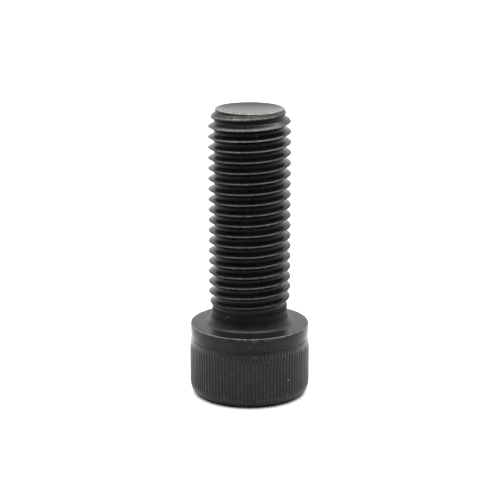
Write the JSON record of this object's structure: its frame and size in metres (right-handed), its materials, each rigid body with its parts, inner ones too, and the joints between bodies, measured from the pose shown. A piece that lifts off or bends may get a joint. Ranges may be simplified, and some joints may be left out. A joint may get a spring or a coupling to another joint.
{
  "type": "socket head cap screw",
  "caption": "Hexagon socket head cap screw with a knurled cylindrical head and a full-length coarse right-hand thread, for clamping parts through a hole into a threaded hole or nut.",
  "frame": {"origin": "centre of the bearing face under the head", "axes": "+Z along the screw's axis from the head to the thread's tip; two opposite corners of the hexagon socket lie on X"},
  "size_m": [0.023, 0.023, 0.0555],
  "materials": {
    "black_oxide_steel": "black oxide on steel, satin, slightly oily, bare metal showing on worn thread crests and edges"
  },
  "bodies": {
    "root": {"cap_screw": "black_oxide_steel"}
  },
  "joints": []
}
